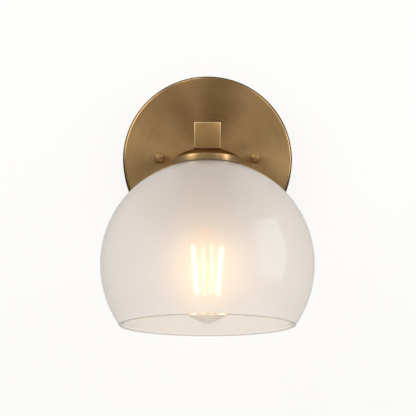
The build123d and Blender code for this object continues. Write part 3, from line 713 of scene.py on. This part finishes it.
def twist_connector(side):
    """A ribbed cone with a rounded end, on the diagonal that the lead leaves on."""
    bm = bmesh.new()
    wide, narrow = CONNECTOR_RADII
    bmesh.ops.create_cone(bm, cap_ends=True, segments=STEPS_PER_RIB * CONNECTOR_RIBS, radius1=wide,
                          radius2=narrow, depth=CONNECTOR_LENGTH)
    bmesh.ops.translate(bm, verts=bm.verts, vec=(0, 0, CONNECTOR_LENGTH / 2))
    end = max(bm.faces, key=lambda face: face.calc_center_median().z)
    round_off(bm, list(end.edges), narrow / 2, segments=4)
    for vert in bm.verts:
        rib = cos(CONNECTOR_RIBS * atan2(vert.co.y, vert.co.x))
        share = 1 - CONNECTOR_RIB_DEPTH * (1 - rib) / 2 / wide
        vert.co.x *= share
        vert.co.y *= share
    along = Vector((side, 0, 1)).normalized()
    corner = Vector((side * LEAD_CORNER.x, LEAD_CORNER.y, LEAD_CORNER.z))
    turn = along.to_track_quat("Z", "Y").to_matrix().to_4x4()
    place = Matrix.Translation(corner + along * CONNECTOR_START) @ turn
    bmesh.ops.transform(bm, matrix=place, verts=bm.verts)
    return bm


connector_plastic = moulded("connector_plastic", CONNECTOR, gloss=(0.35, 0.5))
connectors = joined([twist_connector(1), twist_connector(-1)])
placed("twist_connectors", connectors, connector_plastic, "lamp", "wire_connectors")


# Globe
# A blown glass globe, open below with a fire-polished lip, and etched on the outside to an even
# satin white. The ring clamps it against the seat ring round its top hole.
shade_low, shade_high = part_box("glass_shade")
SHADE_RADIUS = (shade_high.x - shade_low.x) / 2
SHADE_FLATTENING = 0.0026
SHADE_WALL = 0.003
SHADE_DROP = 0.0494
SHADE_HOLE = 0.021
SHADE_STEPS = 192
LIP_RADIUS = 0.0018
WHITE = (1, 1, 1, 1)
GLASS_TONES = ((0.945, 0.944, 0.94, 1), (0.92, 0.92, 0.918, 1))
GLASS_CLOUDS = 40.0
GLASS_CLOUD_SHARE = 0.3
GLASS_INDEX = 1.4
GLASS_ROUGHNESS = 0.08
ETCH_GRAIN = 2600.0
ETCH_DEPTH = 0.00001
SCATTERED = 0.63
SCATTERED_BACK = 0.3
SEEN_CLEAR = 0.15
WIDE_SPREAD = (1.42, 0.95)
NEAR_SPREAD = (1.04, 0.6)
LIP_TINT = (0.84, 0.80, 0.745, 1)
LIP_FACING = -0.55
LIP_INDEX = 1.45
LIP_BLUR = 0.2
LIP_SCATTERED = 0.5
# The inner face's second tone is painted warmth of the bulb's light, for rays seen straight.
INSIDE_CLEAR_AND_PAINTED_WARMTH = ((1, 0.988, 0.97, 1), (0.99, 0.925, 0.85, 1))
INSIDE_INDEX = 1.2
crown_radius = SHADE_RADIUS - SHADE_FLATTENING
crown_rise = sqrt(crown_radius**2 - (SHADE_HOLE - SHADE_FLATTENING) ** 2)
equator = shade_high.z - crown_rise


def globe():
    """The globe's wall, turned from the outside of the hole down to the lip and up the inside."""
    inner_radius = SHADE_RADIUS - SHADE_WALL
    middle = SHADE_RADIUS - SHADE_WALL / 2
    crown_inner = crown_radius - SHADE_WALL
    start = degrees(asin((SHADE_HOLE - SHADE_FLATTENING) / crown_radius))
    inner_start = degrees(asin((SHADE_HOLE - SHADE_FLATTENING) / crown_inner))
    lip_angle = asin(SHADE_DROP / middle)
    back_off = sqrt(LIP_RADIUS**2 - (SHADE_WALL / 2) ** 2)
    outer_end = degrees(lip_angle - back_off / SHADE_RADIUS)
    inner_end = degrees(lip_angle - back_off / inner_radius)
    lip_turn = 180 + 2 * degrees(atan2(back_off, SHADE_WALL / 2))
    lip_centre = (middle * cos(lip_angle), equator - middle * sin(lip_angle))
    return turned(
        (SHADE_HOLE, shade_high.z),
        (SHADE_FLATTENING, equator, start - 90),
        (0, equator, -outer_end),
        (*lip_centre, -lip_turn),
        (0, equator, inner_end),
        (SHADE_FLATTENING, equator, 90 - inner_start),
        place=ON_AXIS, steps=SHADE_STEPS, closed=True,
    )


def blended(tree, share, first, second):
    """Two shaders, mixed by the second one's share."""
    return wire(tree, "MixShader", {0: share, 1: first, 2: second})


def thin_index(tree, index):
    """An index of refraction that turns round at the wall's back, so that both sides bend alike."""
    return span(tree, wire(tree, "NewGeometry", out="Backfacing"), index, 1 / index)


def thin_fresnel(tree, index):
    """Mirror share of a thin wall, the same from either side."""
    return wire(tree, "Fresnel", {"IOR": thin_index(tree, index)})


def rippled_gloss(tree, ripples, gloss):
    """A gloss with faint ripples, between two roughnesses."""
    noise = speckle(tree, own_place(tree), ripples, detail=2.0)
    return wire(tree, "BsdfGlossy", {"Roughness": span(tree, noise, *gloss)})


def spread_light(tree, tint, normal, bend, roughness):
    """Straight-through spread of light, wider with a stronger bend."""
    return wire(tree, "BsdfRefraction", {"Color": tint, "Roughness": roughness, "Normal": normal,
                                         "IOR": thin_index(tree, bend)})


def etched_glass():
    """Etched glass: plain scatter, on and back, with a wide straight-through spread of light.

    A little light passes nearly clear, and the surface keeps some gloss.
    """
    material, tree = new_material("etched_glass")
    place = own_place(tree)
    cloud = span(tree, speckle(tree, place, GLASS_CLOUDS), 0.0, GLASS_CLOUD_SHARE)
    etched = relief(tree, speckle(tree, place, ETCH_GRAIN, detail=2.0), ETCH_DEPTH)
    tint = two_tone(tree, cloud, *GLASS_TONES)
    scatter_on = wire(tree, "BsdfTranslucent", {"Color": tint})
    scatter_back = wire(tree, "BsdfDiffuse", {"Color": tint, "Normal": etched})
    scatter = blended(tree, SCATTERED_BACK, scatter_on, scatter_back)
    body = blended(tree, SCATTERED, spread_light(tree, tint, etched, *WIDE_SPREAD), scatter)
    seen = blended(tree, SEEN_CLEAR, body, spread_light(tree, tint, etched, *NEAR_SPREAD))
    gloss = wire(tree, "BsdfGlossy", {"Color": WHITE, "Roughness": GLASS_ROUGHNESS})
    show(tree, blended(tree, thin_fresnel(tree, GLASS_INDEX), seen, gloss))
    return material


def polished_lip():
    """The fire-polished lip: it bends the view up to the bulb, and has a sharp gloss."""
    material, tree = new_material("polished_lip")
    bent = wire(tree, "BsdfRefraction", {"Color": LIP_TINT, "Roughness": LIP_BLUR,
                                         "IOR": thin_index(tree, LIP_INDEX)})
    glow = wire(tree, "BsdfTranslucent", {"Color": LIP_TINT})
    body = blended(tree, LIP_SCATTERED, bent, glow)
    gloss = rippled_gloss(tree, ripples=200.0, gloss=(0.06, 0.14))
    show(tree, blended(tree, thin_fresnel(tree, LIP_INDEX), body, gloss))
    return material


def smooth_inside_painted_warmth():
    """The globe's inner face: clear glass with a faint gloss, painted warm where seen straight."""
    material, tree = new_material("smooth_inside_painted_warmth")
    # Seen straight, the inner face is tinted warm: painted light of the bulb.
    straight = wire(tree, "LightPath", out="Is Camera Ray")
    clear = wire(tree, "BsdfTransparent", {"Color": two_tone(tree, straight, *INSIDE_CLEAR_AND_PAINTED_WARMTH)})
    gloss = rippled_gloss(tree, ripples=60.0, gloss=(0.1, 0.2))
    show(tree, blended(tree, thin_fresnel(tree, INSIDE_INDEX), clear, gloss))
    return material


shade = placed("globe_shade", globe(), etched_glass(), "lamp", "glass_shade")
shade.data.materials.append(smooth_inside_painted_warmth())
shade.data.materials.append(polished_lip())
globe_centre = ON_AXIS @ Vector((0, 0, equator))
for face in shade.data.polygons:
    if face.normal.z < LIP_FACING and face.center.z < shade_low.z + LIP_RADIUS:
        face.material_index = 2
    elif face.normal.dot(face.center - globe_centre) < 0:
        face.material_index = 1


# Clamping ring
# A turned brass ring with scalloped finger grips. It screws up the sleeve's thread and presses the
# globe against the seat ring.
RING_EDGE = 0.0003
ring_brass = aged_brass("ring_brass", "round Z", AXIS, stretch=0.4)
eased_copy("clamping_ring", "shade_ring", RING_EDGE, ring_brass, "shade_ring")


# Bulb base
# A drawn and nickel-plated screw shell with a rolled round thread. Black glass holds the tip at its
# end, and the driver board is pressed in behind it.
NICKEL = ((0.62, 0.60, 0.56, 1), (0.5, 0.48, 0.44, 1))
BLACK_GLASS = ((0.018, 0.018, 0.02, 1), (0.03, 0.03, 0.032, 1))
BOARD = ((0.05, 0.2, 0.09, 1), (0.09, 0.3, 0.14, 1))
BASE_PITCH = 0.003629
BASE_THREAD_DEPTH = 0.0011
BASE_SHEET = 0.0004
BASE_SHOULDER = 0.002
BASE_STEPS = 64
RINGS_PER_PITCH = 12
TIP_EDGE = 0.0004
INSULATOR_EDGE = 0.0003
BOARD_EDGE = 0.0002


def rolled_base(low, high, mouth):
    """The screw shell: a round thread that is one long wave wound upwards, with a shoulder to its mouth."""
    bm = bmesh.new()
    radius = (high.x - low.x) / 2
    top = high.z - BASE_SHOULDER
    rings = (round((top - low.z) / BASE_PITCH) + SPARE_TURNS) * RINGS_PER_PITCH
    wave = []
    for ring in range(rings + 1):
        turns = ring / RINGS_PER_PITCH
        dip = BASE_THREAD_DEPTH * (1 - cos(2 * pi * turns)) / 2
        wave.append((radius - dip, low.z + (turns - SPARE_TURNS) * BASE_PITCH))
    draw_outline(bm, *wave)
    wind_thread(bm, BASE_PITCH, BASE_STEPS, low.z, top)
    stretch_rim(bm, open_rim(bm, top), mouth, high.z)
    bmesh.ops.recalc_face_normals(bm, faces=bm.faces)
    bmesh.ops.solidify(bm, geom=bm.faces[:], thickness=BASE_SHEET)
    bmesh.ops.recalc_face_normals(bm, faces=bm.faces)
    bmesh.ops.transform(bm, matrix=ON_AXIS, verts=bm.verts)
    return bm


nickel = plain_metal("nickel_plate", NICKEL, grain=500.0, detail=5.0, gloss=(0.16, 0.34))
black_glass = moulded("black_glass", BLACK_GLASS, gloss=(0.08, 0.16), grain=300.0)
circuit_board = moulded("circuit_board", BOARD, gloss=(0.35, 0.55), grain=500.0)
low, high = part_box("bulb_insulator")
base_shell = rolled_base(*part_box("bulb_base"), mouth=(high.x - low.x) / 2)
placed("base_shell", base_shell, nickel, "bulb", "bulb_base")
eased_copy("contact_tip", "bulb_tip", TIP_EDGE, nickel, "bulb_tip")
eased_copy("tip_insulator", "bulb_insulator", INSULATOR_EDGE, black_glass, "bulb")
eased_copy("driver_board", "bulb_driver", BOARD_EDGE, circuit_board, "bulb")


# Filaments
# Four glass strips with tiny diodes under a yellow phosphor coat, hung between nickel wires on a
# glass stem. They are lit, the two inner ones less brightly, and the stem catches their light.
FILAMENT_GLOW = ((1.0, 0.55, 0.20, 1), (1.0, 0.63, 0.28, 1))
FILAMENT_GRAINS = 900.0
FILAMENT_POWER = 17.0
INNER_POWER = 7.5
INNER_REACH = (0.0045, 0.0065)
FILAMENT_EDGE = 0.0002
WIRE_EDGE = 0.00005
STEM_EDGE = 0.0004
# Painted warmth: the stem's milk is orange for the filaments' light it carries.
STEM_MILK_PAINTED_WARMTH = (1.0, 0.55, 0.25, 1)
CLEAR_TONES = ((0.995, 0.99, 0.98, 1), (0.985, 0.975, 0.96, 1))
CLEAR_EDGE = 0.28
CLEAR_INDEX = 1.15


def lit_phosphor():
    """Lit phosphor, dimmer on the two strips near the middle."""
    material, tree = new_material("lit_phosphor")
    place = own_place(tree)
    glow = two_tone(tree, speckle(tree, place, FILAMENT_GRAINS, detail=2.0), *FILAMENT_GLOW)
    aside = wire(tree, "Math", {0: wire(tree, "SeparateXYZ", {0: place}, out="X")}, operation="ABSOLUTE")
    power = span(tree, aside, INNER_POWER, FILAMENT_POWER, *INNER_REACH)
    show(tree, wire(tree, "Emission", {"Color": glow, "Strength": power}))
    return material


def clear_glass(name, roughest, milky=0.0, milk=WHITE):
    """Thin clear glass: it passes light straight through, and darkens and shines towards its edges.

    A milky share of it scatters light on instead, in the milk's colour.
    """
    material, tree = new_material(name)
    edge = wire(tree, "LayerWeight", {"Blend": CLEAR_EDGE}, out="Facing")
    clear = wire(tree, "BsdfTransparent", {"Color": two_tone(tree, edge, *CLEAR_TONES)})
    scatter = wire(tree, "BsdfTranslucent", {"Color": milk})
    gloss = rippled_gloss(tree, ripples=90.0, gloss=(0.0, roughest))
    body = blended(tree, milky, clear, scatter)
    show(tree, blended(tree, thin_fresnel(tree, CLEAR_INDEX), body, gloss))
    return material


# The stem's orange milk is painted warmth of the filaments' light.
stem_glass = clear_glass("stem_glass", roughest=0.1, milky=0.95, milk=STEM_MILK_PAINTED_WARMTH)
eased_copy("lit_filaments", "bulb_filaments", FILAMENT_EDGE, lit_phosphor(), "bulb")
eased_copy("support_wires", "filament_wires", WIRE_EDGE, nickel, "bulb")
eased_copy("glass_stem", "bulb_stem", STEM_EDGE, stem_glass, "bulb")


# Bulb glass
# A blown clear envelope with a slightly pointed crown. Its neck is cemented into the screw shell.
bulb_low, bulb_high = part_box("bulb_glass")
BULB_RADIUS = (bulb_high.x - bulb_low.x) / 2
BULB_WALL = 0.0009
BULB_NECK = 0.0122
BULB_NECK_SEAT = 0.003
BULB_STEPS = 96
NOSE_ANGLE = 26.0
NOSE_RADIUS = 0.0095


def envelope():
    """The bulb's wall: up the outside from nose to neck, and down the inside."""
    nose_centre = bulb_low.z + NOSE_RADIUS
    slope = radians(NOSE_ANGLE)
    centre = nose_centre + (BULB_RADIUS - NOSE_RADIUS) / cos(slope)
    seat = bulb_high.z - BULB_NECK_SEAT
    rise = seat - centre

    def neck_sizes(inset):
        """Radius of the neck, radius of the hollow below it, and the angle where ball and hollow meet."""
        ball = BULB_RADIUS - inset
        neck = BULB_NECK - inset
        hollow = (rise**2 + neck**2 - ball**2) / (2 * (ball - neck))
        return neck, hollow, degrees(asin(rise / (ball + hollow)))

    neck, hollow, meet = neck_sizes(0)
    inner_neck, inner_hollow, inner_meet = neck_sizes(BULB_WALL)
    inner_nose = NOSE_RADIUS - BULB_WALL
    return turned(
        (0, bulb_low.z),
        (0, nose_centre, NOSE_ANGLE),
        (BULB_RADIUS * sin(slope), centre - BULB_RADIUS * cos(slope)),
        (0, centre, 90 - NOSE_ANGLE + meet),
        (neck + hollow, seat, -meet),
        (neck, bulb_high.z),
        (inner_neck, bulb_high.z),
        (inner_neck, seat),
        (inner_neck + inner_hollow, seat, inner_meet),
        (0, centre, NOSE_ANGLE - 90 - inner_meet),
        (inner_nose * sin(slope), nose_centre - inner_nose * cos(slope)),
        (0, nose_centre, -NOSE_ANGLE),
        place=ON_AXIS, steps=BULB_STEPS,
    )


bulb_clear_glass = clear_glass("bulb_clear_glass", roughest=0.04)
placed("bulb_envelope", envelope(), bulb_clear_glass, "bulb", "bulb_glass")


# Studio
# A white wall right behind the lamp. It is seen from the front only, so that the lamp's back can be
# looked at, and it lets stray light through to the lamp's back.
WALL_GAP = 0.0015
WALL_SIDE = 8.0
WALL_WHITE = (0.93, 0.925, 0.91, 1)
WALL_GLOW = (0.985, 0.978, 0.965, 1)
GLOW_SHARE = 0.86


def looked_at(tree):
    """1 for rays that show the studio, straight or through glass."""
    path = wire(tree, "LightPath", out="Is Camera Ray").node
    return wire(tree, "Math", {0: path.outputs["Is Camera Ray"], 1: path.outputs["Is Transmission Ray"]},
                operation="MAXIMUM")


def studio_wall():
    """White that glows enough to stay white and still shows the lamp's soft shadow."""
    material, tree = new_material("studio_wall")
    lit = wire(tree, "BsdfDiffuse", {"Color": WALL_WHITE})
    glow = wire(tree, "Emission", {"Color": WALL_GLOW, "Strength": 1.0})
    through = wire(tree, "BsdfTransparent", {"Color": WHITE})
    shown = blended(tree, looked_at(tree), through, blended(tree, GLOW_SHARE, lit, glow))
    behind = wire(tree, "NewGeometry", out="Backfacing")
    show(tree, blended(tree, behind, shown, through))
    return material


sheet = bmesh.new()
bmesh.ops.create_grid(sheet, x_segments=1, y_segments=1, size=WALL_SIDE / 2)
bmesh.ops.transform(sheet, matrix=Matrix.Translation((0, WALL_GAP, 0)) @ FROM_WALL, verts=sheet.verts)
wall_mesh = bpy.data.meshes.new("wall")
sheet.to_mesh(wall_mesh)
sheet.free()
wall_mesh.materials.append(studio_wall())
wall = bpy.data.objects.new("wall", wall_mesh)
bpy.context.scene.collection.objects.link(wall)
wall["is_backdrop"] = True


# Studio light
# Four softboxes light all but the globe. The globe has a fill of its own, which it doesn't mirror, and
# a bluish window, which it only mirrors. A pale room lights everything a little.
LAMP_MIDDLE = (0, -0.08, -0.04)
WINDOW_BLUE = (0.76, 0.91, 1.0)
ROOM_STRENGTH = 0.55
ROOM_PALE = (0.985, 0.98, 0.97, 1)
all_but_globe = bpy.data.collections.new("all_but_globe")
all_but_globe.objects.link(shade)
all_but_globe.collection_objects[0].light_linking.link_state = "EXCLUDE"
globe_only = bpy.data.collections.new("globe_only")
globe_only.objects.link(shade)


def softbox(name, place, size, power, aim=LAMP_MIDDLE, lights=all_but_globe, mirrored=True, lighting=True,
            tint=(1, 1, 1)):
    """An area light that isn't seen itself, for what a collection lets it light."""
    light = bpy.data.lights.new(name, "AREA")
    light.shape = "RECTANGLE"
    light.size, light.size_y = size
    light.energy = power
    light.color = tint
    lamp = bpy.data.objects.new(name, light)
    lamp.location = place
    lamp.rotation_euler = (Vector(aim) - Vector(place)).to_track_quat("-Z", "Y").to_euler()
    lamp.visible_camera = False
    lamp.visible_transmission = False
    lamp.visible_glossy = mirrored
    lamp.visible_diffuse = lighting
    lamp.light_linking.receiver_collection = lights
    bpy.context.scene.collection.objects.link(lamp)


softbox("right_softbox", place=(1.39, -0.64, 0.36), size=(0.42, 0.8), power=7.6)
softbox("high_right_softbox", place=(0.9, -0.95, 1.1), size=(0.8, 0.8), power=7.0)
softbox("left_softbox", place=(-1.2, -0.8, 0.9), size=(0.8, 1.2), power=16.5)
softbox("top_softbox", place=(-0.3, -0.9, 1.7), size=(0.3, 0.5), power=5.0)
softbox("globe_fill", place=(0.1, -1.3, 0.2), size=(1.2, 1.2), power=10.6, lights=globe_only,
        mirrored=False)
softbox("window", place=(1.345, -0.56, 0.19), size=(0.94, 1.38), power=9.6, aim=globe_centre,
        lights=globe_only, lighting=False, tint=WINDOW_BLUE)

world = bpy.data.worlds.new("studio_light")
world.use_nodes = True
bpy.context.scene.world = world
tree = world.node_tree
tree.nodes.clear()
fill = wire(tree, "Background", {"Color": WHITE, "Strength": ROOM_STRENGTH})
pale = wire(tree, "Background", {"Color": ROOM_PALE, "Strength": 1.0})
wire(tree, "OutputWorld", {"Surface": blended(tree, looked_at(tree), fill, pale)})


# Camera
# It stands far off and a little below the lamp, and looks up at it with a long lens.
IMAGE_SIDE = 416
FOCAL_PIXELS = 2911
SENSOR = 36.0
CAMERA_PLACE = (0.00045, -2.49365, -0.45505)
CAMERA_PITCH = 9.46
view = bpy.data.cameras.new("camera")
view.sensor_width = SENSOR
view.lens = SENSOR * FOCAL_PIXELS / IMAGE_SIDE
camera = bpy.data.objects.new("camera", view)
camera.location = CAMERA_PLACE
camera.rotation_euler = (radians(90 + CAMERA_PITCH), 0, 0)
bpy.context.scene.collection.objects.link(camera)
bpy.context.scene.camera = camera
bpy.context.scene.view_settings.view_transform = "Standard"

low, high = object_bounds()
